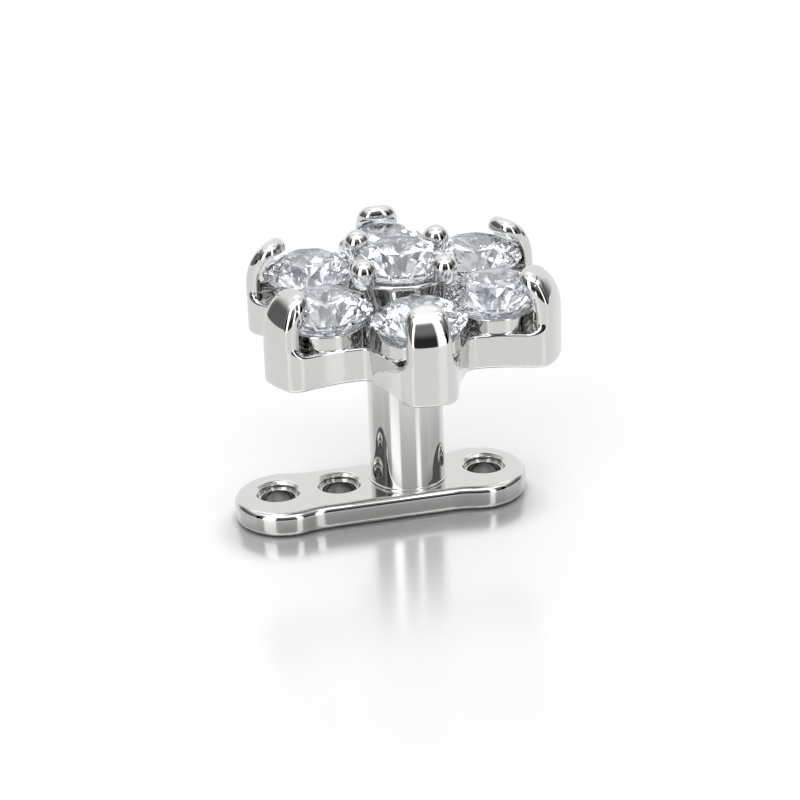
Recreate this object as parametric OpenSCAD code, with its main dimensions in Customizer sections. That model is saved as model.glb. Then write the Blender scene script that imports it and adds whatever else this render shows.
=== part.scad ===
// Micro dermal jewel: a flower of seven round stones on a footed anchor.
// Millimetres, +Z up. The origin is where the post's axis meets the foot's underside.
// The foot's long arm, with two holes, points along -X and its short arm along +X.

/* [Foot] */
// Thickness of the foot plate
foot_t = 0.55; // [0.4:0.05:0.8]
// Radius of the round end of each arm
lobe_r = 1.06; // [1.03:0.01:1.1]
// Half the width of the foot between its ends
waist_half = 0.95; // [0.9:0.01:1]
// Centre of the long arm's end, along X
long_end_x = -2.73; // [-3.2:0.01:-2.6]
// Centre of the short arm's end, along X
short_end_x = 1.52; // [1.45:0.01:2.2]
// Radius of the hollow curve between a round end and the straight edge
neck_r = 1.5; // [1:0.1:2]
// How far the foot's centre line lies behind or before the post, along Y
foot_y = -0.04; // [-0.15:0.01:0.15]

/* [Tissue holes] */
// Places of the three holes along X
hole_x = [-2.84, -1.50, 1.72];
// How far the line of holes lies behind the post's axis, along Y
hole_y = 0.10; // [-0.1:0.01:0.12]
// Diameter of a hole
hole_d = 0.72; // [0.6:0.02:0.76]
// Diameter of a hole's countersink at the top face
sink_d = 1.02; // [0.96:0.02:1.06]
// Depth of the countersink
sink_h = 0.07; // [0.04:0.01:0.1]
// Diameter of the step between the countersink and the hole
step_d = 0.86; // [0.8:0.02:0.92]
// Depth of that step below the top face
step_depth = 0.15; // [0.12:0.01:0.2]
// Width of the small chamfer at the underside
under_chamfer = 0.06; // [0.02:0.01:0.1]

/* [Post] */
// Diameter of the post, 14 gauge
post_d = 1.60; // [1.2:0.1:1.8]
// Height of the post's top above the foot's underside
post_top = 3.68; // [3.2:0.01:3.68]
// Diameter of the small shoulder at the post's foot
shoulder_d = 1.68; // [1.62:0.01:1.8]
// Height of that shoulder above the foot plate
shoulder_h = 0.05; // [0.02:0.01:0.1]
// Diameter of the bore for the screw pin
bore_d = 1.25; // [1.2:0.01:1.3]
// Height at which the bore ends
bore_floor = 1.40; // [1:0.1:2]

/* [Screw pin] */
// Diameter of the pin that joins the flower to the post
pin_d = 1.15; // [1:0.01:1.18]
// Height of the pin's lower end
pin_bottom = 1.50; // [1.45:0.05:2.5]
// How deep the pin's upper end sits in the flower's tray
pin_seat = 0.28; // [0.2:0.01:0.3]

/* [Flower setting] */
// Turn of the flower about the post, degrees
flower_turn = -3.5; // [-30:0.5:30]
// Height of the tray's underside
tray_z = 3.70; // [3.7:0.01:4.3]
// Height of the tray's wall
tray_h = 0.76; // [0.7:0.01:0.9]
// Thickness of the tray's floor
floor_t = 0.56; // [0.5:0.01:0.6]
// Thickness of the tray's wall
rim_w = 0.13; // [0.1:0.01:0.16]
// Radius at the outer face of a claw
claw_r = 3.42; // [3.4:0.01:3.46]
// Width of a claw
claw_w = 1.08; // [1.07:0.01:1.1]
// Thickness of a claw
claw_t = 0.28; // [0.26:0.01:0.3]
// Radius of the slow bend of a claw's outer face
slow_bend = 1.20; // [1.15:0.05:1.3]
// Radius of the tight bend at a claw's top
tight_bend = 0.60; // [0.58:0.01:0.64]
// Angle at which the slow bend runs into the tight one
bend_change = 35; // [33:1:38]
// Angle at which the tight bend ends in the claw's round tip
bend_end = 88; // [87:1:89]
// Radius of a claw's nose seen from above
nose_r = 0.46; // [0.42:0.01:0.48]
// Radius, from the flower's axis, at which a claw reaches its full width
full_width_r = 3.22; // [3.18:0.01:3.3]
// Height of a claw's top above the tray's underside
claw_h = 2.01; // [2:0.01:2.05]
// Radius of a notch between two petals
notch_r = 2.12; // [2.1:0.01:2.2]
// Place of a petal's flank between claw and notch, along and across the petal
flank = [2.86, 0.55];

/* [Stones] */
// Girdle diameter of every stone
stone_d = 2.00; // [1.8:0.01:2.02]
// Radius of the ring on which the six petal stones sit
ring_r = 2.05; // [2.04:0.01:2.07]
// Height of a petal stone's lower girdle line above the tray's underside
petal_girdle = 1.33; // [1.28:0.01:1.34]
// Height of the centre stone's lower girdle line above the tray's underside
centre_girdle = 1.83; // [1.82:0.01:1.9]
// Table diameter over the girdle diameter
table_ratio = 0.57; // [0.5:0.01:0.62]
// Angle of the crown's main facets
crown_angle = 35; // [30:1:38]
// Angle of the pavilion's main facets
pavilion_angle = 40; // [38:1:41]
// Thickness of the girdle
girdle_t = 0.05; // [0.04:0.01:0.08]

/* [Collars and centre head] */
// Outer radius of the collar under a petal stone
collar_r = 0.84; // [0.8:0.01:0.85]
// Height of a collar's top under the stone's lower girdle line
collar_drop = 0.24; // [0.2:0.01:0.3]
// Gap between a stone and its seat
seat_gap = 0.03; // [0.02:0.01:0.05]
// Wall of the centre head's funnel, measured level
funnel_w = 0.17; // [0.15:0.01:0.2]
// Height of the rail under the centre stone
rail_h = 0.10; // [0.08:0.01:0.12]
// Outer radius of the rail
rail_r = 1.10; // [1.09:0.01:1.12]
// Gap from the rail's top up to the centre stone's lower girdle line
rail_drop = 0.14; // [0.12:0.01:0.18]
// Radius at which the four centre prongs stand
prong_ring = 1.18; // [1.17:0.005:1.2]
// Diameter of a centre prong
prong_d = 0.50; // [0.46:0.01:0.52]
// Diameter of the round bead on a prong
bead_d = 0.54; // [0.52:0.01:0.56]
// Height of a bead's centre above the centre stone's lower girdle line
bead_rise = 0.145; // [0.14:0.005:0.16]
// Height of the middle of a prong's round lower end above the rail's top
prong_foot = 0.14; // [0.13:0.01:0.16]
// Turn of the four prongs against the petals, degrees
prong_turn = 40.5; // [38:0.5:42]

/* [Hidden] */
petals = 6;
petal_step = 360 / petals;
// Direction of the first petal, which faces -Y before the flower is turned
first_petal = flower_turn - 90;
prongs = 4;
// Share of the wall's thickness by which its inner flank corner moves along the petal
flank_in = 0.4;
// Straight steps of each of a claw's bends and of its round tip
bend_steps = 9;
// How far a cutter runs past the face that it cuts
over = 0.1;
$fn = 96;

steel = "#c9cac4";
crystal = "#e8ebf4";

// Sizes of a stone that follow from its angles
stone_r = stone_d / 2;
table_r = stone_r * table_ratio;
crown_h = (stone_r - table_r) * tan(crown_angle);
pavilion_h = stone_r * tan(pavilion_angle);
// Place of the star facets' outer corners, as a share of the stone's radius
star_share = 0.80;
star_r = stone_r * star_share;
// Place of the lower halves' inner corners, as a share of the stone's radius
lower_share = 0.24;
lower_r = stone_r * lower_share;
mains = 8;
main_step = 360 / mains;

// Heights of the corners of the crown's and the pavilion's facets above the lower girdle line
star_z = girdle_t + (stone_r - star_r * cos(main_step / 2)) * tan(crown_angle);
table_z = girdle_t + crown_h;
lower_z = -pavilion_h + lower_r * cos(main_step / 2) * tan(pavilion_angle);

// Heights above the foot's underside
tray_top = tray_z + tray_h;
floor_top = tray_z + floor_t;
petal_z = tray_z + petal_girdle;
centre_z = tray_z + centre_girdle;
rail_top = centre_z - rail_drop;

// Centres of a claw's two bends and of its round tip, as radius and height
bends_apart = slow_bend - tight_bend;
slow_centre = [
    claw_r - slow_bend,
    tray_z + claw_h - tight_bend - bends_apart * sin(bend_change)
];
tight_centre = slow_centre + bends_apart * [cos(bend_change), sin(bend_change)];
tip_centre = tight_centre + (tight_bend - claw_t / 2) * [cos(bend_end), sin(bend_end)];
claw_tip_r = tip_centre[0] - claw_t / 2;

function on_circle(r, angle, z) = [r * cos(angle), r * sin(angle), z];
function turned(p, angle) = [
    p[0] * cos(angle) - p[1] * sin(angle),
    p[0] * sin(angle) + p[1] * cos(angle)
];

// Round brilliant cut with its lower girdle line at z = 0.
// Its points run in rings: table, star corners, upper and lower girdle, lower halves, culet.
module brilliant() {
    halves = 2 * mains;
    half_step = main_step / 2;
    corners = concat(
        [for (i = [0:mains - 1]) on_circle(table_r, i * main_step, table_z)],
        [for (i = [0:mains - 1]) on_circle(star_r, (i + 0.5) * main_step, star_z)],
        [for (i = [0:halves - 1]) on_circle(stone_r, i * half_step, girdle_t)],
        [for (i = [0:halves - 1]) on_circle(stone_r, i * half_step, 0)],
        [for (i = [0:mains - 1]) on_circle(lower_r, (i + 0.5) * main_step, lower_z)],
        [[0, 0, -pavilion_h]]
    );
    star = mains;
    upper = star + mains;
    lower = upper + halves;
    low_half = lower + halves;
    culet = low_half + mains;
    facets = concat(
        [[for (i = [mains - 1:-1:0]) i]],
        [for (i = [0:mains - 1]) [i, (i + 1) % mains, star + i]],
        [for (i = [0:mains - 1]) [i, star + i, upper + 2 * i, star + (i + mains - 1) % mains]],
        [for (i = [0:mains - 1]) [star + i, upper + 2 * i + 1, upper + 2 * i]],
        [for (i = [0:mains - 1]) [star + i, upper + (2 * i + 2) % halves, upper + 2 * i + 1]],
        [for (i = [0:halves - 1])
            [upper + i, upper + (i + 1) % halves, lower + (i + 1) % halves, lower + i]],
        [for (i = [0:mains - 1]) [low_half + i, lower + 2 * i, lower + 2 * i + 1]],
        [for (i = [0:mains - 1]) [low_half + i, lower + 2 * i + 1, lower + (2 * i + 2) % halves]],
        [for (i = [0:mains - 1])
            [culet, low_half + (i + mains - 1) % mains, lower + 2 * i, low_half + i]]
    );
    polyhedron(points = corners, faces = facets);
}

module petal_stone(index) {
    color(crystal)
        rotate([0, 0, first_petal + index * petal_step])
            translate([ring_r, 0, petal_z])
                brilliant();
}

module stone_centre() {
    color(crystal)
        rotate([0, 0, first_petal])
            translate([0, 0, centre_z])
                brilliant();
}

// One side of the neck: what is left between a round end and the straight edge
// once the hollow curve is cut away. It points along +X from the round end's centre.
module neck_side() {
    reach_y = waist_half + neck_r;
    reach_x = sqrt(pow(lobe_r + neck_r, 2) - pow(reach_y, 2));
    difference() {
        linear_extrude(foot_t)
            polygon([[0, 0], [reach_x, reach_y], [reach_x, 0]]);
        translate([reach_x, reach_y, -over])
            cylinder(h = foot_t + 2 * over, r = neck_r);
    }
}

module foot_end(end_x, towards) {
    translate([end_x, foot_y, 0])
        mirror([towards < 0 ? 1 : 0, 0, 0]) {
            cylinder(h = foot_t, r = lobe_r);
            neck_side();
            mirror([0, 1, 0]) neck_side();
        }
}

module tissue_hole(x) {
    translate([x, hole_y, 0]) {
        translate([0, 0, -over])
            cylinder(h = foot_t + 2 * over, d = hole_d);
        translate([0, 0, foot_t - sink_h])
            cylinder(h = sink_h, d1 = step_d, d2 = sink_d);
        translate([0, 0, foot_t - step_depth])
            cylinder(h = step_depth + over, d = step_d);
        cylinder(h = under_chamfer, d1 = hole_d + 2 * under_chamfer, d2 = hole_d);
    }
}

// Foot plate and post, machined from one bar
module anchor() {
    neck_x = sqrt(pow(lobe_r + neck_r, 2) - pow(waist_half + neck_r, 2));
    bar_from = long_end_x + neck_x;
    bar_to = short_end_x - neck_x;
    color(steel)
        difference() {
            union() {
                foot_end(long_end_x, 1);
                foot_end(short_end_x, -1);
                translate([bar_from, foot_y - waist_half, 0])
                    cube([bar_to - bar_from, 2 * waist_half, foot_t]);
                cylinder(h = post_top, d = post_d);
                cylinder(h = foot_t + shoulder_h, d = shoulder_d);
            }
            for (x = hole_x) tissue_hole(x);
            translate([0, 0, bore_floor])
                cylinder(h = post_top, d = bore_d);
        }
}

module screw_pin() {
    color(steel)
        translate([0, 0, pin_bottom])
            cylinder(h = tray_z + pin_seat - pin_bottom, d = pin_d);
}

// Outline of the tray: six blunt points with a notch between each pair.
// The inset moves every side inwards by that much.
module star_outline(inset) {
    half = claw_w / 2;
    notch = notch_r - inset;
    corners = [
        for (i = [0:petals - 1])
            for (p = [
                [flank[0] - inset * flank_in, -flank[1] + inset],
                [claw_r - inset, -half + inset],
                [claw_r - inset, half - inset],
                [flank[0] - inset * flank_in, flank[1] - inset],
                [notch * cos(petal_step / 2), notch * sin(petal_step / 2)]
            ])
                turned(p, i * petal_step)
    ];
    polygon(corners);
}

module tray() {
    difference() {
        translate([0, 0, tray_z])
            linear_extrude(tray_h) star_outline(0);
        translate([0, 0, floor_top])
            linear_extrude(tray_h) star_outline(rim_w);
    }
}

// Points on an arc, without its first one
function arc(centre, radius, from, to) = [
    for (i = [1:bend_steps])
        let (angle = from + (to - from) * i / bend_steps)
            centre + radius * [cos(angle), sin(angle)]
];

// A claw seen from its side, in radius and height
module claw_side() {
    outside = concat(
        [[claw_r, tray_z], [claw_r, slow_centre[1]]],
        arc(slow_centre, slow_bend, 0, bend_change),
        arc(tight_centre, tight_bend, bend_change, bend_end)
    );
    tip = arc(tip_centre, claw_t / 2, bend_end, bend_end + 180);
    inside = concat(
        arc(tight_centre, tight_bend - claw_t, bend_end, bend_change),
        arc(slow_centre, slow_bend - claw_t, bend_change, 0),
        [[claw_r - claw_t, tray_z]]
    );
    polygon(concat(outside, tip, inside));
}

// A claw seen from above, along +X, narrowing to its nose
module claw_plan() {
    half = claw_w / 2;
    nose_x = claw_tip_r + nose_r;
    translate([nose_x, 0]) circle(r = nose_r);
    polygon([
        [nose_x, -nose_r],
        [full_width_r, -half],
        [claw_r + over, -half],
        [claw_r + over, half],
        [full_width_r, half],
        [nose_x, nose_r]
    ]);
}

module claw() {
    intersection() {
        translate([0, claw_w / 2, 0])
            rotate([90, 0, 0])
                linear_extrude(claw_w) claw_side();
        translate([0, 0, tray_z - over])
            linear_extrude(claw_h + 2 * over) claw_plan();
    }
}

// What a stone needs clear in its seat and under the claws, with its lower girdle line at z
module seat_cut(z) {
    low = -pavilion_h - seat_gap / cos(pavilion_angle);
    wide = stone_r + seat_gap;
    translate([0, 0, z])
        rotate_extrude()
            polygon([
                [0, low],
                [wide, low + wide * tan(pavilion_angle)],
                [wide, girdle_t + seat_gap],
                [star_r + seat_gap, star_z + seat_gap],
                [table_r + seat_gap, table_z + seat_gap],
                [0, table_z + seat_gap]
            ]);
}

module collar() {
    translate([ring_r, 0, tray_z])
        cylinder(h = petal_girdle - collar_drop, r = collar_r);
}

// Head of the centre stone: a funnel, a rail and four prongs with round beads
module centre_head() {
    rail_in = (rail_top - centre_z + pavilion_h) / tan(pavilion_angle);
    head_r = rail_in + funnel_w - rail_h / tan(pavilion_angle);
    translate([0, 0, tray_z + floor_t / 2])
        cylinder(h = rail_top - rail_h - tray_z - floor_t / 2, r1 = pin_d / 2, r2 = head_r);
    translate([0, 0, rail_top - rail_h])
        cylinder(h = rail_h, r = rail_r);
}

module centre_prong() {
    foot_z = rail_top + prong_foot;
    translate([prong_ring, 0, foot_z])
        cylinder(h = centre_z + bead_rise - foot_z, d = prong_d);
    translate([prong_ring, 0, foot_z])
        sphere(d = prong_d);
    translate([prong_ring, 0, centre_z + bead_rise])
        sphere(d = bead_d);
}

// Tray, claws, collars and centre head, cast and soldered as one piece
module flower_setting() {
    color(steel)
        rotate([0, 0, first_petal])
            difference() {
                union() {
                    tray();
                    centre_head();
                    for (i = [0:petals - 1])
                        rotate([0, 0, i * petal_step]) {
                            claw();
                            collar();
                        }
                    for (i = [0:prongs - 1])
                        rotate([0, 0, prong_turn + i * 360 / prongs])
                            centre_prong();
                }
                seat_cut(centre_z);
                for (i = [0:petals - 1])
                    rotate([0, 0, i * petal_step])
                        translate([ring_r, 0, 0]) seat_cut(petal_z);
                translate([0, 0, tray_z - over])
                    cylinder(h = pin_seat + over + seat_gap, d = pin_d + 2 * seat_gap);
            }
}

anchor();
screw_pin();
flower_setting();
stone_centre();
petal_stone(0);  // stone_petal_1
petal_stone(1);  // stone_petal_2
petal_stone(2);  // stone_petal_3
petal_stone(3);  // stone_petal_4
petal_stone(4);  // stone_petal_5
petal_stone(5);  // stone_petal_6
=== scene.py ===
"""Looks of the micro dermal jewel: polished steel flower, cubic zirconia stones, footed anchor."""

import math

import bpy
import numpy as np
from mathutils import Matrix, Vector


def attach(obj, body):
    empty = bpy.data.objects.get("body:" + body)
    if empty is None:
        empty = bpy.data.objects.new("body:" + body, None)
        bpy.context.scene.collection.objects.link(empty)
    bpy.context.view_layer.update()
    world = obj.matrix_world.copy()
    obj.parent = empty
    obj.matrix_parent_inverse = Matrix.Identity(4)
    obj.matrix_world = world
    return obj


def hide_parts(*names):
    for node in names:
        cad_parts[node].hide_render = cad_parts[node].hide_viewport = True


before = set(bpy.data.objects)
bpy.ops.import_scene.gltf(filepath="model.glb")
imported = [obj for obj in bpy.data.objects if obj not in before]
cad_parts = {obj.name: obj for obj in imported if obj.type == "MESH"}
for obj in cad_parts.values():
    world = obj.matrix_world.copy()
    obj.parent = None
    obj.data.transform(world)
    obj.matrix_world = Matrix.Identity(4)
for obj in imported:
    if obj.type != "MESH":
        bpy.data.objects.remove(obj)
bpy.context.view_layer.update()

MM = 0.001

# Foot plate, in millimetres as in the part's source, like all sizes of the metal and the stones
FOOT_T = 0.55  # thickness
LOBE_R = 1.06  # round ends
WAIST_HALF = 0.95  # half the width between them
NECK_R = 1.5  # hollow curves from an end to the waist
FOOT_Y = -0.04  # centre line
LONG_END_X = -2.73
SHORT_END_X = 1.52

# Tissue holes: bore, countersink at the top, step under it, and chamfer at the underside
HOLES_X = (-2.84, -1.50, 1.72)
HOLES_Y = 0.10
HOLE_R = 0.36
SINK_R = 0.51
SINK_H = 0.07
STEP_R = 0.43
STEP_DEPTH = 0.15
UNDER_CHAMFER = 0.06

# Post, its shoulder and its bore, and the pin
POST_R = 0.80
POST_TOP = 3.68
SHOULDER_R = 0.84
SHOULDER_H = 0.05  # above the plate
BORE_R = 0.625
BORE_FLOOR = 1.40
PIN_R = 0.575
PIN_SEAT = 0.28  # how deep it sits in the tray

# Tray and claws
FIRST_PETAL = math.radians(-93.5)
PETALS = 6
PETAL_STEP = math.radians(60)
TRAY_Z = 3.70  # underside
TRAY_H = 0.76
FLOOR_T = 0.56
RIM_W = 0.13  # thickness of the wall
CLAW_R = 3.42  # outer face, from the flower's axis
CLAW_W = 1.08
CLAW_T = 0.28
CLAW_H = 2.01  # top, above the tray's underside
SLOW_BEND = 1.20  # radius of the outer face's first bend
TIGHT_BEND = 0.60  # radius of its second bend
BEND_CHANGE = math.radians(35)  # where the first bend runs into the second
BEND_END = math.radians(88)  # where the second ends in the tip
NOSE_R = 0.46  # tip seen from above
FULL_WIDTH_R = 3.22  # where the claw reaches its width, from the flower's axis
FLANK = (2.86, 0.55)  # corner between claw and notch, along and across a petal
NOTCH_R = 2.12  # notch between two petals, from the flower's axis

# Stones: a girdle's height is that of its lower line above the tray's underside
STONE_R = 1.00
RING_R = 2.05  # ring of the six petal stones
PETAL_GIRDLE = 1.33
CENTRE_GIRDLE = 1.83
MAINS = 8  # main facets of the crown
CROWN_ANGLE = math.radians(35)
PAVILION_ANGLE = math.radians(40)
GIRDLE_T = 0.05
TABLE_SHARE = 0.57  # table over girdle
STAR_SHARE = 0.80  # outer corners of the star facets, as a share of the stone's radius

# Collars, and the centre head with its prongs
COLLAR_R = 0.84
COLLAR_DROP = 0.24  # its top, below the stone's girdle
SEAT_GAP = 0.03  # between a stone or the pin and its seat
FUNNEL_W = 0.17  # wall, measured level
RAIL_H = 0.10
RAIL_R = 1.10
RAIL_DROP = 0.14  # its top, below the stone's girdle
PRONGS = 4
PRONG_RING = 1.18
PRONG_R = 0.25
PRONG_FOOT = 0.14  # middle of its round lower end, above the rail
PRONG_TURN = math.radians(40.5)  # against the petals
BEAD_R = 0.27
BEAD_RISE = 0.145  # its middle, above the stone's girdle

# Heights above the foot's underside, and what follows from a stone's angles
TRAY_TOP = TRAY_Z + TRAY_H
FLOOR_TOP = TRAY_Z + FLOOR_T
PETAL_Z = TRAY_Z + PETAL_GIRDLE
CENTRE_Z = TRAY_Z + CENTRE_GIRDLE
RAIL_TOP = CENTRE_Z - RAIL_DROP
PAVILION_H = STONE_R * math.tan(PAVILION_ANGLE)
TABLE_Z = GIRDLE_T + STONE_R * (1 - TABLE_SHARE) * math.tan(CROWN_ANGLE)
STAR_R = STAR_SHARE * STONE_R
STAR_Z = GIRDLE_T + (STONE_R - STAR_R * math.cos(math.pi / MAINS)) * math.tan(CROWN_ANGLE)

# Rounded edges of the anchor: plate, shoulder, post, holes and bore
FOOT_EDGE = 0.16
SHOULDER_EDGE = 0.022
POST_EDGE = 0.03
HOLE_EDGE = 0.025
BORE_EDGE = 0.03
# Hollow fillets between post and shoulder, between shoulder and plate, and inside a hole
SHOULDER_FILLET = 0.02
PLATE_FILLET = 0.012
HOLE_FILLET = 0.02
# Height at which post and shoulder start, inside the plate
POST_ROOT = 0.10
# How far the room of a hole runs on above the plate
OVER = 0.10

# Radius of the bow that a claw's outer face has across its width
BOW_R = 1.60
# The least square under the bow's root, for points further aside than its radius
BOW_REST = 0.01
# Rounded edges of a claw: long edges, tip and inner face
CLAW_EDGE = 0.26
CLAW_END_EDGE = 0.14
CLAW_INNER_EDGE = 0.05
# Radius of the curve in which the rim runs up a claw's side
RIM_SWEEP = 0.28
# Hollow fillets in the tray's outline: between a petal's flank and its claw, and in the notches
FLANK_FILLET = 0.30
NOTCH_FILLET = 0.16
# Rounded edges of the tray: underside, rim, and the floor inside
TRAY_UNDER_EDGE = 0.10
RIM_EDGE = 0.045
POCKET_EDGE = 0.06
# Edge and fillet of a collar, and the edge of every seat that is cut for a stone or the pin
COLLAR_EDGE = 0.03
COLLAR_FILLET = 0.04
SEAT_EDGE = 0.02
# How far above the tray's underside the claws and collars start inside its floor
ROOT_H = 0.2
# Radius of the tray's middle, which the centre head's funnel fills
CORE_R = 0.50
# Rounded edges of the rail and of the funnel's two ends
RAIL_EDGE = 0.045
FUNNEL_EDGE = 0.03
# Lip between the rail's top and the seat, as steps across and up from the seat's corner
SEAT_LIP = ((0.03, 0), (0.008, -0.006), (-0.01, -0.02))
# Where the turned head has points, as shares of the way up the funnel and out along the seat
FUNNEL_SHARES = (0.25, 0.5, 0.75, 0.9, 0.97)
SEAT_SHARES = (0.9, 0.7, 0.5, 0.3, 0.1)
HEAD_SIDES = 128
# Angle beyond which an edge of the head is shaded sharp
SHARP_ANGLE = math.radians(50)
# Fillet between a prong and its bead
BEAD_FILLET = 0.05

# Grids as runs of (start, step), fine where an edge or a hole is small
ANCHOR_X = ((-3.84, 0.040), (-3.41, 0.022), (-0.93, 0.028), (1.15, 0.022), (2.29, 0.040), (2.64, 0))
ANCHOR_Y = ((-1.14, 0.034), (-0.90, 0.026), (-0.47, 0.022), (0.67, 0.026), (0.90, 0.034), (1.06, 0))
ANCHOR_Z = ((-0.03, 0.03), (0.18, 0.05), (0.34, 0.016), (0.60, 0.02), (0.66, 0.05), (0.80, 0.15),
            (1.30, 0.05), (1.50, 0.15), (3.40, 0.06), (3.60, 0.03), (3.73, 0))
TRAY_OUT = ((0.40, 0.05), (1.0, 0.08), (1.8, 0.045), (3.44, 0))
TRAY_UP = ((3.66, 0.03), (3.83, 0.06), (4.19, 0.03), (4.57, 0.04), (5.74, 0))
# Steps of the tray's grid across one petal
TRAY_ACROSS = 74
# Step of a prong's grid, and the room that it leaves beside and above the prong, and below it
PRONG_STEP = 0.025
PRONG_MARGIN = 0.04
PRONG_MARGIN_BELOW = 0.05

# Laying points on a surface: passes, farthest move in a pass, least squared slope that is divided by
PASSES = 5
REACH = 0.02
LEAST_SLOPE = 0.25
# Distances over which a surface's slope is measured, for its points and for its shading
POINT_STEP = 0.002
SHADING_STEP = 0.004
TINY = 1e-9
# Points nearer than this become one where the petals meet
WELD = 0.002


# Shapes as distances in millimetres, below nought inside the metal

def joined(a, b, fillet):
    """Two shapes in one, with a hollow fillet of that radius between them."""
    u, v = np.maximum(fillet - a, 0), np.maximum(fillet - b, 0)
    return np.maximum(np.minimum(a, b), fillet) - np.sqrt(u * u + v * v)


def common(a, b, edge):
    """What lies in both shapes, with its edge rounded to that radius."""
    u, v = np.maximum(edge + a, 0), np.maximum(edge + b, 0)
    return np.minimum(np.maximum(a, b), -edge) + np.sqrt(u * u + v * v)


def cut(a, b, edge):
    """The first shape without the second, with the cut's edge rounded to that radius."""
    return common(a, -b, edge)


def side_of(x, z, start, end):
    """How far a point lies to the right of the line that runs from start to end."""
    dx, dz = end[0] - start[0], end[1] - start[1]
    length = math.hypot(dx, dz)
    return ((x - start[0]) * dz - (z - start[1]) * dx) / length


def stone_room(r, z):
    """The space of a stone and its gap, measured from its own axis and lower girdle line."""
    gap = SEAT_GAP
    low = -PAVILION_H - gap / math.cos(PAVILION_ANGLE)
    wide = STONE_R + gap
    corners = [(0, low), (wide, low + wide * math.tan(PAVILION_ANGLE)), (wide, GIRDLE_T + gap),
               (STAR_R + gap, STAR_Z + gap), (TABLE_SHARE * STONE_R + gap, TABLE_Z + gap),
               (0, TABLE_Z + gap)]
    room = side_of(r, z, corners[0], corners[1])
    for start, end in zip(corners[1:], corners[2:]):
        room = np.maximum(room, side_of(r, z, start, end))
    return room


# The anchor

def foot_outline(x, y):
    """Two round ends, a straight waist and the hollow curves between them."""
    y = np.abs(y - FOOT_Y)
    middle = (LONG_END_X + SHORT_END_X) / 2
    along = np.where(x < middle, x - LONG_END_X, SHORT_END_X - x)
    neck_y = WAIST_HALF + NECK_R
    neck_x = math.sqrt((LOBE_R + NECK_R) ** 2 - neck_y ** 2)
    lobe = np.hypot(along, y) - LOBE_R
    hollow = NECK_R - np.hypot(along - neck_x, y - neck_y)
    on_lobe = y * neck_x - along * neck_y > 0
    return np.where(on_lobe, lobe, np.where(along < neck_x, hollow, y - WAIST_HALF))


def tissue_hole(r, z):
    """A hole's countersink, step, bore and lower chamfer, from its own axis."""
    slope = math.atan2(SINK_R - STEP_R, SINK_H)
    sink = (r - SINK_R - (z - FOOT_T) * math.tan(slope)) * math.cos(slope)
    under = (r - HOLE_R - UNDER_CHAMFER + z) * math.sqrt(0.5)
    step = np.maximum(r - STEP_R, FOOT_T - STEP_DEPTH - z)
    room = np.minimum(np.maximum(sink, FOOT_T - SINK_H - z), step)
    room = joined(room, r - HOLE_R, HOLE_FILLET)
    room = np.minimum(room, np.maximum(under, z - FOOT_T / 2))
    return np.maximum(room, z - FOOT_T - OVER)


def anchor_metal(x, y, z):
    """Foot plate and post in one, with the tissue holes and the post's bore."""
    r = np.hypot(x, y)
    metal = common(foot_outline(x, y), np.abs(z - FOOT_T / 2) - FOOT_T / 2, FOOT_EDGE)
    shoulder = common(r - SHOULDER_R, z - FOOT_T - SHOULDER_H, SHOULDER_EDGE)
    shoulder = np.maximum(shoulder, POST_ROOT - z)
    post = common(r - POST_R, z - POST_TOP, POST_EDGE)
    post = np.maximum(post, POST_ROOT - z)
    metal = joined(metal, joined(shoulder, post, SHOULDER_FILLET), PLATE_FILLET)
    for hole_x in HOLES_X:
        metal = cut(metal, tissue_hole(np.hypot(x - hole_x, y - HOLES_Y), z), HOLE_EDGE)
    return cut(metal, np.maximum(r - BORE_R, BORE_FLOOR - z), BORE_EDGE)


# The flower's tray with its claws and collars: one petal, which repeats

def petal_axes(x, y):
    """A point in the axes of the petal that it lies in, along and across it."""
    r, turn = np.hypot(x, y), np.arctan2(y, x) - FIRST_PETAL
    turn = (turn + PETAL_STEP / 2) % PETAL_STEP - PETAL_STEP / 2
    return r * np.cos(turn), r * np.sin(turn)


def bowed(x, y):
    """Distance out along a petal, grown towards its sides by the bow of the claw's outer face."""
    return x + BOW_R - np.sqrt(np.maximum(BOW_R ** 2 - y ** 2, BOW_REST))


def petal_sides(x, y):
    """The two long walls of a petal: a block by the claw and a blade that runs in to the notch."""
    notch = (NOTCH_R * math.cos(PETAL_STEP / 2), NOTCH_R * math.sin(PETAL_STEP / 2))
    blade = side_of(x, y, FLANK, notch)
    block = side_of(x, y, (CLAW_R, CLAW_W / 2), FLANK)
    return joined(blade, block, FLANK_FILLET)


def petal_outline(x, y):
    """A petal from above, with the bow of its outer face."""
    y = np.abs(y)
    return common(petal_sides(x, y), bowed(x, y) - CLAW_R, CLAW_EDGE)


def bend_centres():
    """Centres of a claw's slow and tight bends, as radius and height."""
    apart = SLOW_BEND - TIGHT_BEND
    slow_x = CLAW_R - SLOW_BEND
    slow_z = TRAY_Z + CLAW_H - TIGHT_BEND - apart * math.sin(BEND_CHANGE)
    return slow_x, slow_z, slow_x + apart * math.cos(BEND_CHANGE), slow_z + apart * math.sin(BEND_CHANGE)


def claw_face(x, z):
    """Distances from a claw's outer face and past its tip, seen from its side."""
    slow_x, slow_z, tight_x, tight_z = bend_centres()
    slow = np.hypot(x - slow_x, z - slow_z) - SLOW_BEND
    tight = np.hypot(x - tight_x, z - tight_z) - TIGHT_BEND
    past = -(x - slow_x) * math.sin(BEND_CHANGE) + (z - slow_z) * math.cos(BEND_CHANGE)
    face = np.where(z < slow_z, x - CLAW_R, np.where(past < 0, slow, tight))
    end = -(x - tight_x) * math.sin(BEND_END) + (z - tight_z) * math.cos(BEND_END) - CLAW_T / 2
    return face, end


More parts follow.
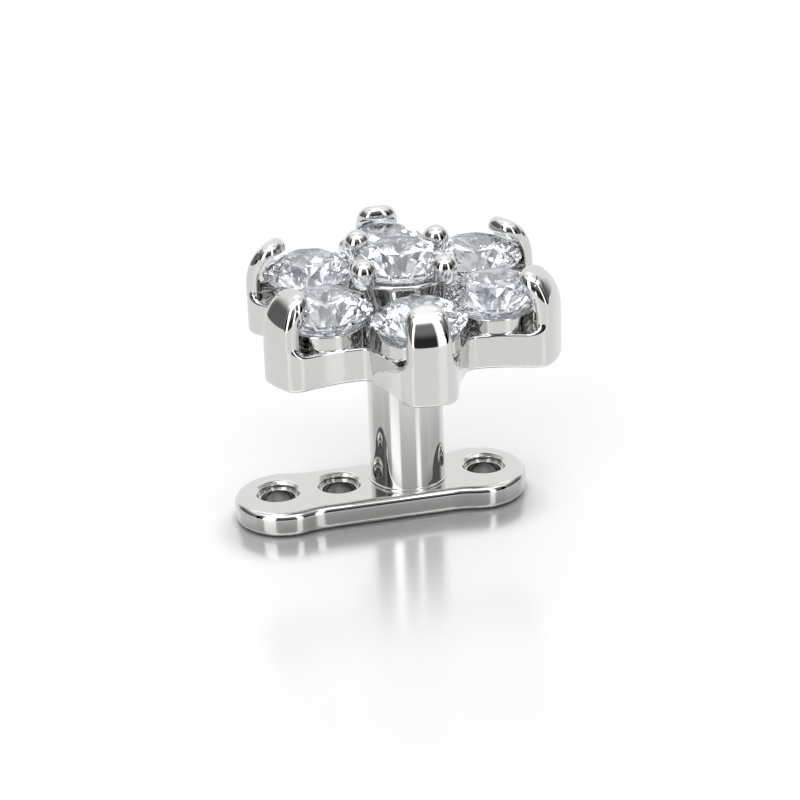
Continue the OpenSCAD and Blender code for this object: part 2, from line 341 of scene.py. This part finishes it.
def claw_plan(x, y):
    """A claw from above: its taper towards the round nose."""
    tight_x = bend_centres()[2]
    middle = TIGHT_BEND - CLAW_T / 2
    tip_x = tight_x + middle * math.cos(BEND_END) - CLAW_T / 2
    nose_x = tip_x + NOSE_R
    taper = side_of(x, y, (FULL_WIDTH_R, CLAW_W / 2), (nose_x, NOSE_R))
    return np.where(x < nose_x, np.hypot(x - nose_x, y) - NOSE_R, taper)


def tray_metal(x, y, z):
    """Tray wall and claw in one sheet, whose rim runs up each claw's side in a hollow curve."""
    along, across = petal_axes(x, y)
    across = np.abs(across)
    c, s = math.cos(PETAL_STEP), math.sin(PETAL_STEP)
    neighbour = petal_outline(along * c + across * s, across * c - along * s)
    star = joined(petal_outline(along, across), neighbour, NOTCH_FILLET)
    face, end = claw_face(bowed(along, across), z)
    claw = common(petal_sides(along, across), face, CLAW_EDGE)
    claw = common(claw, claw_plan(along, across), CLAW_EDGE)
    claw = common(claw, end, CLAW_END_EDGE)
    claw = common(claw, -face - CLAW_T, CLAW_INNER_EDGE)
    claw = np.maximum(claw, TRAY_Z + ROOT_H - z)
    rim = joined(z - TRAY_TOP, claw, RIM_SWEEP)
    metal = common(common(star, TRAY_Z - z, TRAY_UNDER_EDGE), rim, RIM_EDGE)
    pocket = common(star + RIM_W, FLOOR_TOP - z, POCKET_EDGE)
    metal = np.minimum(cut(metal, pocket, RIM_EDGE), claw)
    from_stone = np.hypot(along - RING_R, across)
    collar = common(from_stone - COLLAR_R, z - (PETAL_Z - COLLAR_DROP), COLLAR_EDGE)
    metal = joined(metal, np.maximum(collar, TRAY_Z + ROOT_H - z), COLLAR_FILLET)
    metal = cut(metal, stone_room(from_stone, z - PETAL_Z), SEAT_EDGE)
    from_axis = np.hypot(along, across)
    pin_room = np.maximum(from_axis - PIN_R - SEAT_GAP, z - TRAY_Z - PIN_SEAT - SEAT_GAP)
    return cut(metal, np.minimum(from_axis - CORE_R, pin_room), SEAT_EDGE)


# Meshing: a net of quads drawn on the surface where a distance is nought

def slope_of(shape, points, step=POINT_STEP):
    """A shape's slope at each point, along X, Y and Z."""
    slope = np.empty_like(points)
    for k in range(3):
        ahead, behind = points.copy(), points.copy()
        ahead[:, k] += step
        behind[:, k] -= step
        slope[:, k] = shape(*ahead.T) - shape(*behind.T)
    return slope / (2 * step)


def on_surface(shape, points):
    """Moves points up or down a shape's slope until they lie on its surface."""
    for _ in range(PASSES):
        slope = slope_of(shape, points)
        height = shape(*points.T)
        move = -height[:, None] * slope / np.maximum((slope * slope).sum(1), LEAST_SLOPE)[:, None]
        size = np.linalg.norm(move, axis=1)
        points = points + move * np.minimum(1, REACH / np.maximum(size, TINY))[:, None]
    return points


def edge_ends(values, axis, around):
    """The values at the near and far ends of a grid's edges along an axis."""
    if around and axis == 1:
        return values, np.concatenate([values[:, 1:], values[:, :1]], 1)
    near, far = [slice(None)] * 3, [slice(None)] * 3
    near[axis], far[axis] = slice(0, -1), slice(1, None)
    return values[tuple(near)], values[tuple(far)]


def net(values, axes, around=False):
    """Points and quads of the surface in a grid of values.

    Each grid edge that the surface crosses gives a quad between the four cells round it, and a cell's
    point is the mean of the crossings on its edges. Around means that the second axis closes on itself:
    a cell that a quad reaches backwards over the seam has a number below nought and a point of its own.
    """
    cells = np.array(values.shape) - (1, 0 if around else 1, 1)
    turn = axes[1][-1] - axes[1][0] if around else 0
    bounded = [0, 2] if around else [0, 1, 2]
    total = np.zeros((cells.prod(), 3))
    count = np.zeros(len(total))
    quads = []
    for k in range(3):
        near, far = edge_ends(values, k, around)
        hit = (near < 0) != (far < 0)
        at = np.argwhere(hit)
        near, far = near[hit], far[hit]
        crossing = np.stack([axes[m][at[:, m]] for m in range(3)], 1)
        crossing[:, k] += near / (near - far) * (axes[k][at[:, k] + 1] - axes[k][at[:, k]])
        back = np.zeros((4, 1, 3), int)
        back[:, 0, [m for m in range(3) if m != k]] = ((1, 1), (0, 1), (0, 0), (1, 0))
        ring = at - back
        whole = ((ring[..., bounded] >= 0) & (ring[..., bounded] < cells[bounded])).all((0, 2))
        corners = []
        for cell in ring[:, whole]:
            over_seam = cell[:, 1] < 0
            flat = (cell[:, 0] * cells[1] + cell[:, 1] % cells[1]) * cells[2] + cell[:, 2]
            place = crossing[whole]
            place[over_seam, 1] += turn
            for m in range(3):
                total[:, m] += np.bincount(flat, place[:, m], len(total))
            count += np.bincount(flat, minlength=len(total))
            corners.append(np.where(over_seam, -1 - flat, flat))
        quad = np.stack(corners, 1)
        outward = (near[whole] < 0) ^ (k == 1)
        quad[~outward] = quad[~outward][:, ::-1]
        quads.append(quad)
    quads = np.concatenate(quads)
    numbers, places = np.unique(quads, return_inverse=True)
    cell = np.where(numbers < 0, -1 - numbers, numbers)
    points = total[cell] / count[cell][:, None]
    points[numbers < 0, 1] -= turn
    return points, places.reshape(quads.shape)


def spaced(*runs):
    """A grid axis from runs of (start, step); the last run gives the end alone."""
    out = []
    for (start, step), (end, _) in zip(runs, runs[1:]):
        out.extend(np.linspace(start, end, max(1, round((end - start) / step)), endpoint=False))
    return np.array(out + [runs[-1][0]])


def piece_from(name, points, faces):
    """A new object from points in millimetres and faces."""
    mesh = bpy.data.meshes.new(name)
    mesh.from_pydata((np.array(points) * MM).tolist(), [], faces)
    mesh.update()
    piece = bpy.data.objects.new(name, mesh)
    bpy.context.scene.collection.objects.link(piece)
    return piece


def polish(piece, shape):
    """Shades a mesh by the slope of the true surface that its points lie on."""
    mesh = piece.data
    points = np.empty(len(mesh.vertices) * 3)
    mesh.vertices.foreach_get("co", points)
    normals = slope_of(shape, points.reshape(-1, 3) / MM, SHADING_STEP)
    normals /= np.maximum(np.linalg.norm(normals, axis=1), TINY)[:, None]
    mesh.polygons.foreach_set("use_smooth", [True] * len(mesh.polygons))
    mesh.normals_split_custom_set_from_vertices(normals.tolist())


# Geometry Nodes: a piece repeated round the post's axis

def add_node(tree, kind, links=(), **settings):
    """Adds a node, sets it up and links its inputs: links holds (input, value or (node, output))."""
    node = tree.nodes.new(kind)
    for key, value in settings.items():
        setattr(node, key, value)
    for key, source in links:
        if isinstance(source, tuple) and hasattr(source[0], "outputs"):
            tree.links.new(source[0].outputs[source[1]], node.inputs[key])
        else:
            node.inputs[key].default_value = source
    return node


def round_the_axis(piece, count, material):
    """Repeats a piece evenly round Z, joins the copies where they meet and gives the plain mesh back."""
    tree = bpy.data.node_groups.new(piece.name + "_ring", "GeometryNodeTree")
    tree.interface.new_socket("Geometry", in_out="INPUT", socket_type="NodeSocketGeometry")
    number = tree.interface.new_socket("Copies", in_out="INPUT", socket_type="NodeSocketInt")
    step = tree.interface.new_socket("Step", in_out="INPUT", socket_type="NodeSocketFloat")
    weld = tree.interface.new_socket("Weld distance", in_out="INPUT", socket_type="NodeSocketFloat")
    tree.interface.new_socket("Geometry", in_out="OUTPUT", socket_type="NodeSocketGeometry")
    entry = add_node(tree, "NodeGroupInput")
    spots = add_node(tree, "GeometryNodeMeshLine", [("Count", (entry, "Copies")), ("Offset", (0, 0, 0))])
    index = add_node(tree, "GeometryNodeInputIndex")
    angle = add_node(tree, "ShaderNodeMath", [(0, (index, 0)), (1, (entry, "Step"))], operation="MULTIPLY")
    turn = add_node(tree, "ShaderNodeCombineXYZ", [("Z", (angle, 0))])
    copies = add_node(tree, "GeometryNodeInstanceOnPoints",
                      [("Points", (spots, 0)), ("Instance", (entry, "Geometry")), ("Rotation", (turn, 0))])
    real = add_node(tree, "GeometryNodeRealizeInstances", [(0, (copies, 0))])
    welded = add_node(tree, "GeometryNodeMergeByDistance",
                      [("Geometry", (real, 0)), ("Distance", (entry, "Weld distance"))])
    finish = add_node(tree, "GeometryNodeSetMaterial", [("Geometry", (welded, 0)), ("Material", material)])
    add_node(tree, "NodeGroupOutput", [("Geometry", (finish, 0))])
    modifier = piece.modifiers.new("ring", "NODES")
    modifier.node_group = tree
    modifier[number.identifier] = count
    modifier[step.identifier] = 2 * math.pi / count
    modifier[weld.identifier] = WELD * MM
    evaluated = piece.evaluated_get(bpy.context.evaluated_depsgraph_get())
    mesh = bpy.data.meshes.new_from_object(evaluated)
    piece.modifiers.remove(modifier)
    piece.data = mesh
    mesh.name = piece.name
    return piece


# Materials

def linear(hex_colour):
    """sRGB hex to linear RGBA."""
    parts = [int(hex_colour[i:i + 2], 16) / 255 for i in (1, 3, 5)]
    return tuple(c / 12.92 if c <= 0.04045 else ((c + 0.055) / 1.055) ** 2.4 for c in parts) + (1.0,)


# Size of the buffing's soft patches in millimetres, the span of their noise and the roughness over it
BUFFING_SIZE = 0.35
NOISE_SPAN = (0.35, 0.65)
BUFFED = (0.035, 0.07)


def surgical_steel():
    """Mirror-polished surgical steel: a faintly warm grey mirror, with the buffing's fine softness."""
    mat = bpy.data.materials.new("mirror_polished_surgical_steel")
    mat.use_nodes = True
    tree = mat.node_tree
    shader = tree.nodes["Principled BSDF"]
    shader.inputs["Base Color"].default_value = linear("#d2d2d0")
    shader.inputs["Metallic"].default_value = 1.0
    where = add_node(tree, "ShaderNodeTexCoord")
    buffing = add_node(tree, "ShaderNodeTexNoise",
                       [("Vector", (where, "Object")), ("Scale", 1 / (BUFFING_SIZE * MM)), ("Detail", 3.0)])
    softness = add_node(tree, "ShaderNodeMapRange",
                        [("Value", (buffing, 0)), ("From Min", NOISE_SPAN[0]), ("From Max", NOISE_SPAN[1]),
                         ("To Min", BUFFED[0]), ("To Max", BUFFED[1])])
    tree.links.new(softness.outputs[0], shader.inputs["Roughness"])
    return mat


def zirconia():
    """Cubic zirconia, cut and polished: clear, with strong bends of light at every facet."""
    mat = bpy.data.materials.new("cut_cubic_zirconia")
    mat.use_nodes = True
    shader = mat.node_tree.nodes["Principled BSDF"]
    shader.inputs["Base Color"].default_value = linear("#f3f8ff")
    shader.inputs["Roughness"].default_value = 0.0
    shader.inputs["IOR"].default_value = 2.15
    shader.inputs["Transmission Weight"].default_value = 1.0
    return mat


# The pieces

def anchor_piece(material):
    """The anchor, one mesh."""
    axes = [spaced(*ANCHOR_X), spaced(*ANCHOR_Y), spaced(*ANCHOR_Z)]
    points, quads = net(anchor_metal(*np.meshgrid(*axes, indexing="ij")), axes)
    piece = piece_from("anchor_polished", on_surface(anchor_metal, points), quads.tolist())
    piece.data.materials.append(material)
    polish(piece, anchor_metal)
    return piece


def tray_piece(material):
    """The tray with its claws and collars: the net of one petal, repeated."""
    axes = [spaced(*TRAY_OUT), np.linspace(0, PETAL_STEP, TRAY_ACROSS + 1), spaced(*TRAY_UP)]
    r, a, z = np.meshgrid(axes[0], axes[1][:-1], axes[2], indexing="ij")
    start = FIRST_PETAL - PETAL_STEP / 2
    values = tray_metal(r * np.cos(a + start), r * np.sin(a + start), z)
    points, quads = net(values, axes, around=True)
    r, a = points[:, 0], points[:, 1] + start
    points = np.stack([r * np.cos(a), r * np.sin(a), points[:, 2]], 1)
    piece = piece_from("petal_tray", on_surface(tray_metal, points), quads.tolist())
    piece = round_the_axis(piece, PETALS, material)
    polish(piece, tray_metal)
    return piece


def lathe(name, profile, sides):
    """Turns a profile of (radius, height) about the post's axis, on which it starts and ends."""
    body = np.array(profile[1:-1])
    a = np.linspace(0, 2 * math.pi, sides, endpoint=False)
    rows = np.stack([np.outer(np.cos(a), body[:, 0]), np.outer(np.sin(a), body[:, 0]),
                     np.outer(np.ones(sides), body[:, 1])], 2).reshape(-1, 3)
    points = np.concatenate([rows, [(0, 0, profile[0][1]), (0, 0, profile[-1][1])]])
    n, first, last = len(body), len(rows), len(rows) + 1
    beside = [(i * n, (i + 1) % sides * n) for i in range(sides)]
    faces = [(i + k, j + k, j + k + 1, i + k + 1) for i, j in beside for k in range(n - 1)]
    faces += [(first, j, i) for i, j in beside]
    faces += [(last, i + n - 1, j + n - 1) for i, j in beside]
    return piece_from(name, points, faces)


def arc(centre, radius, start, end, steps=6):
    """Points on an arc, from one angle to another in degrees."""
    a = np.radians(np.linspace(start, end, steps))
    return [(centre[0] + radius * math.cos(t), centre[1] + radius * math.sin(t)) for t in a]


def head_piece(material):
    """Funnel and rail under the centre stone, turned in one."""
    slope = math.tan(PAVILION_ANGLE)
    low = CENTRE_Z - PAVILION_H - SEAT_GAP / math.cos(PAVILION_ANGLE)
    seat_r = (RAIL_TOP - low) / slope
    foot_z, rail_z = TRAY_Z + FLOOR_T / 2, RAIL_TOP - RAIL_H
    outer_r = (RAIL_TOP - CENTRE_Z + PAVILION_H) / slope + FUNNEL_W - RAIL_H / slope
    profile = [(0, foot_z), (PIN_R - FUNNEL_EDGE, foot_z), (PIN_R, foot_z + FUNNEL_EDGE)]
    profile += [(PIN_R + (outer_r - PIN_R) * t, foot_z + (rail_z - foot_z) * t)
                for t in FUNNEL_SHARES]
    profile += [(outer_r + FUNNEL_EDGE, rail_z)]
    profile += arc((RAIL_R - RAIL_EDGE, rail_z + RAIL_EDGE), RAIL_EDGE, -90, 0)
    profile += arc((RAIL_R - RAIL_EDGE, RAIL_TOP - RAIL_EDGE), RAIL_EDGE, 0, 90)
    profile += [(seat_r + across, RAIL_TOP + up) for across, up in SEAT_LIP]
    profile += [(seat_r * t, low + seat_r * t * slope) for t in SEAT_SHARES]
    profile += [(0, low)]
    piece = lathe("centre_head", profile, HEAD_SIDES)
    piece.data.materials.append(material)
    smooth(piece)
    return piece


def prong_metal(x, y, z):
    """One prong of the centre head: a round-ended stub with a ball on it, notched for the stone."""
    a = FIRST_PETAL + PRONG_TURN
    out = np.hypot(x - PRONG_RING * math.cos(a), y - PRONG_RING * math.sin(a))
    foot, bead = RAIL_TOP + PRONG_FOOT, CENTRE_Z + BEAD_RISE
    low = np.where(z < foot, np.hypot(out, z - foot), out) - PRONG_R
    stub = np.maximum(low, z - bead)
    ball = np.hypot(out, z - bead) - BEAD_R
    metal = joined(stub, ball, BEAD_FILLET)
    return cut(metal, stone_room(np.hypot(x, y), z - CENTRE_Z), SEAT_EDGE)


def every_prong(x, y, z):
    """The same prong for each quarter turn."""
    r, step = np.hypot(x, y), 2 * math.pi / PRONGS
    middle = FIRST_PETAL + PRONG_TURN
    a = (np.arctan2(y, x) - middle + step / 2) % step - step / 2 + middle
    return prong_metal(r * np.cos(a), r * np.sin(a), z)


def prong_piece(material):
    """The four prongs: the net of one, repeated."""
    a = FIRST_PETAL + PRONG_TURN
    cx, cy = PRONG_RING * math.cos(a), PRONG_RING * math.sin(a)
    reach = BEAD_R + PRONG_MARGIN
    low = RAIL_TOP + PRONG_FOOT - PRONG_R - PRONG_MARGIN_BELOW
    high = CENTRE_Z + BEAD_RISE + reach
    axes = [spaced((start, PRONG_STEP), (end, 0))
            for start, end in ((cx - reach, cx + reach), (cy - reach, cy + reach), (low, high))]
    points, quads = net(prong_metal(*np.meshgrid(*axes, indexing="ij")), axes)
    piece = piece_from("bead_prongs", on_surface(prong_metal, points), quads.tolist())
    piece = round_the_axis(piece, PRONGS, material)
    polish(piece, every_prong)
    return piece


def smooth(piece):
    """Shades a piece smoothly, apart from its sharp edges."""
    mesh = piece.data
    mesh.polygons.foreach_set("use_smooth", [True] * len(mesh.polygons))
    mesh.set_sharp_from_angle(angle=SHARP_ANGLE)


steel = surgical_steel()
crystal = zirconia()
anchor = anchor_piece(steel)
tray = tray_piece(steel)
head = head_piece(steel)
prongs = prong_piece(steel)
for piece in (anchor, tray, head, prongs):
    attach(piece, "root")
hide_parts("anchor")
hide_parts("flower_setting")
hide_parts("flower_setting")
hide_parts("flower_setting")

# The stones keep the solids' own facets
for name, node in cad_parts.items():
    node.data.materials.clear()
    node.data.materials.append(crystal if name.startswith("stone") else steel)


# Floor, light and camera

# The photo's camera: its place in degrees and millimetres, its focal length in pixels of the photo,
# and the pixel on which the part's origin lies
AZIMUTH, ELEVATION, ROLL = -12.7576, 25.0, -2.0807
DISTANCE = 60.0
FOCAL_PX = 2772.6
ORIGIN_PX = (408.7436, 497.7282)
PHOTO_PX = 800
SENSOR_MM = 36.0
# What the camera sees, from near to far in metres
CLIP = (0.005, 5.0)

# Half the floor's side, and how far it lies under the foot so that the two faces stay apart
FLOOR_HALF = 600
FLOOR_GAP = 0.01
# How far the foot's painted shade lies before it, towards the camera
PAINTED_SHADE_SHIFT = 0.6
# How the floor changes near the foot: from and to, in millimetres off its outline, and the value at each
MIRROR = (0.6, 6.0, 0.46, 0.08)
DULLED = (0.3, 1.5, 0.60, 1.0)
# Painted shade: the floor's colour darkened before the foot, where its shadow would fall
PAINTED_SHADE = (-0.3, 0.65, 0.0, 1.0)
# Painted contact shadow: the floor's colour darkened right along the foot's outline
PAINTED_CONTACT_SHADOW = (-0.1, 0.16, 0.0, 1.0)

# Radiance of the pale room, and what each patch of it adds. A patch has a name, its left and right
# sides and its low and high edges in degrees, how soft its edges are, and its strength.
# Side nought is behind the camera.
ROOM = 1.07
PATCHES = (
    ("pale ceiling", -200, 200, 50, 100, 14, 0.40),
    ("broad light above", -80, 80, 50, 100, 8, 0.70),
    ("grey side behind the camera", -67, 67, -10, 47, 12, -0.84),
    ("its darker foot", -67, 67, -10, 23, 16, -0.20),
    ("grey left side", -125, -67, -10, 37, 24, -0.92),
    ("grey right side", 67, 125, -10, 37, 24, -0.92),
    ("flag high on the left", -125, -70, 54, 74, 8, -0.60),
    ("flag high on the right", 70, 125, 54, 74, 8, -0.60),
    ("left strip light", -49, -20, -10, 56, 4, 2.2),
    ("right strip light", 29, 42, -10, 56, 4, 2.2),
)


def from_foot(tree, where, shift):
    """Distance on the floor from the line between the foot's round ends, moved by a shift."""
    middle, straight = (LONG_END_X + SHORT_END_X) / 2, (SHORT_END_X - LONG_END_X) / 2
    centre = ((middle + shift[0]) * MM, (FOOT_Y + shift[1]) * MM, 0)
    centred = add_node(tree, "ShaderNodeVectorMath", [(0, (where, "Object")), (1, centre)],
                       operation="SUBTRACT")
    parts = add_node(tree, "ShaderNodeSeparateXYZ", [(0, (centred, 0))])
    along = add_node(tree, "ShaderNodeMath", [(0, (parts, "X"))], operation="ABSOLUTE")
    past = add_node(tree, "ShaderNodeMath", [(0, (along, 0)), (1, straight * MM)], operation="SUBTRACT")
    past = add_node(tree, "ShaderNodeMath", [(0, (past, 0)), (1, 0.0)], operation="MAXIMUM")
    offset = add_node(tree, "ShaderNodeCombineXYZ", [("X", (past, 0)), ("Y", (parts, "Y"))])
    return add_node(tree, "ShaderNodeVectorMath", [(0, (offset, 0))], operation="LENGTH")


def faded(tree, distance, near, far, at_near, at_far):
    """A value that runs smoothly between two distances from the foot's outline."""
    limits = [("Value", (distance, "Value")), ("To Min", at_near), ("To Max", at_far),
              ("From Min", (LOBE_R + near) * MM), ("From Max", (LOBE_R + far) * MM)]
    return add_node(tree, "ShaderNodeMapRange", limits, interpolation_type="SMOOTHSTEP")


def blend(tree, factor, colour, other):
    """One colour that runs into another."""
    return add_node(tree, "ShaderNodeMix", [("Factor", (factor, 0)), ("A", colour), ("B", other)],
                    data_type="RGBA")


def white_acrylic():
    """Glossy white acrylic: a soft mirror near the foot, duller further off, with painted shade before the
    foot and a painted contact shadow along its outline.
    """
    mat = bpy.data.materials.new("glossy_white_acrylic_painted_shade")
    mat.use_nodes = True
    tree = mat.node_tree
    tree.nodes.clear()
    where = add_node(tree, "ShaderNodeTexCoord")
    away = from_foot(tree, where, (0, 0))
    turn = math.radians(AZIMUTH)
    before = from_foot(tree, where, (PAINTED_SHADE_SHIFT * math.sin(turn), -PAINTED_SHADE_SHIFT * math.cos(turn)))
    mirror = faded(tree, away, *MIRROR)
    dulled = faded(tree, away, *DULLED)
    share = add_node(tree, "ShaderNodeMath", [(0, (mirror, 0)), (1, (dulled, 0))], operation="MULTIPLY")
    # Painted shade: the floor's colour runs from pale to grey before the foot
    shaded = blend(tree, faded(tree, before, *PAINTED_SHADE), linear("#bababa"), linear("#efefef"))
    # Painted contact shadow: darker still along the foot's outline
    white = blend(tree, faded(tree, away, *PAINTED_CONTACT_SHADOW), linear("#a0a0a0"), (shaded, "Result"))
    matt = add_node(tree, "ShaderNodeBsdfDiffuse", [("Color", (white, "Result"))])
    gloss = add_node(tree, "ShaderNodeBsdfGlossy", [("Color", linear("#ffffff")), ("Roughness", 0.16)])
    mixed = add_node(tree, "ShaderNodeMixShader", [(0, (share, 0)), (1, (matt, 0)), (2, (gloss, 0))])
    add_node(tree, "ShaderNodeOutputMaterial", [("Surface", (mixed, 0))])
    return mat


def floor():
    """A plain square of white acrylic under the foot, with painted shade and a painted contact shadow near
    the foot.
    """
    half = FLOOR_HALF
    piece = piece_from("floor", [(-half, -half, 0), (half, -half, 0), (half, half, 0), (-half, half, 0)],
                       [(0, 1, 2, 3)])
    piece.location.z = -FLOOR_GAP * MM
    piece.data.materials.append(white_acrylic())


def studio():
    """Soft studio: pale all round, a broad light above, grey towards the camera with two strip lights."""
    world = bpy.data.worlds.new("studio")
    bpy.context.scene.world = world
    world.use_nodes = True
    tree = world.node_tree
    tree.nodes.clear()
    where = add_node(tree, "ShaderNodeTexCoord")
    turned = add_node(tree, "ShaderNodeMapping",
                      [("Vector", (where, "Generated")), ("Rotation", (0, 0, math.radians(-AZIMUTH)))])
    parts = add_node(tree, "ShaderNodeSeparateXYZ", [(0, (turned, 0))])
    height = add_node(tree, "ShaderNodeMath", [(0, (parts, "Z"))], operation="ARCSINE")
    ahead = add_node(tree, "ShaderNodeMath", [(0, (parts, "Y")), (1, -1.0)], operation="MULTIPLY")
    side = add_node(tree, "ShaderNodeMath", [(0, (parts, "X")), (1, (ahead, 0))], operation="ARCTAN2")
    total = ROOM
    for _, left, right, low, high, soft, strength in PATCHES:
        mask = 1.0
        for angle, edge, at_low, at_high in ((side, left, 0.0, 1.0), (side, right, 1.0, 0.0),
                                             (height, low, 0.0, 1.0), (height, high, 1.0, 0.0)):
            limits = [("Value", (angle, 0)), ("To Min", at_low), ("To Max", at_high),
                      ("From Min", math.radians(edge - soft / 2)),
                      ("From Max", math.radians(edge + soft / 2))]
            ramp = add_node(tree, "ShaderNodeMapRange", limits, interpolation_type="SMOOTHSTEP")
            mask = (add_node(tree, "ShaderNodeMath", [(0, mask), (1, (ramp, 0))], operation="MULTIPLY"), 0)
        total = (add_node(tree, "ShaderNodeMath", [(0, mask), (1, strength), (2, total)],
                          operation="MULTIPLY_ADD"), 0)
    light = add_node(tree, "ShaderNodeBackground", [("Color", linear("#ffffff")), ("Strength", total)])
    add_node(tree, "ShaderNodeOutputWorld", [("Surface", (light, 0))])


def camera():
    """The photo's camera: near, looking down on the jewel from a little left of its front."""
    cam = bpy.data.cameras.new("camera")
    rig = bpy.data.objects.new("camera", cam)
    bpy.context.scene.collection.objects.link(rig)
    a, e, r = math.radians(AZIMUTH), math.radians(ELEVATION), math.radians(ROLL)
    back = Vector((math.sin(a) * math.cos(e), -math.cos(a) * math.cos(e), math.sin(e)))
    right = Vector((math.cos(a), math.sin(a), 0))
    up = back.cross(right)
    across = right * math.cos(r) + up * math.sin(r)
    upward = up * math.cos(r) - right * math.sin(r)
    origin_x, origin_y = [(pixel - PHOTO_PX / 2) * DISTANCE / FOCAL_PX for pixel in ORIGIN_PX]
    place = (back * DISTANCE - across * origin_x + upward * origin_y) * MM
    turn = Matrix((across, upward, back)).transposed().to_4x4()
    rig.matrix_world = Matrix.Translation(place) @ turn
    cam.lens = FOCAL_PX * SENSOR_MM / PHOTO_PX
    cam.sensor_width = SENSOR_MM
    cam.clip_start, cam.clip_end = CLIP
    bpy.context.scene.camera = rig


floor()
studio()
camera()
# Light crosses many facets before it leaves a stone, and goes to and fro between polished faces
scene = bpy.context.scene
scene.view_settings.view_transform = "Standard"
scene.cycles.max_bounces = 24
scene.cycles.transmission_bounces = 20
scene.cycles.glossy_bounces = 16
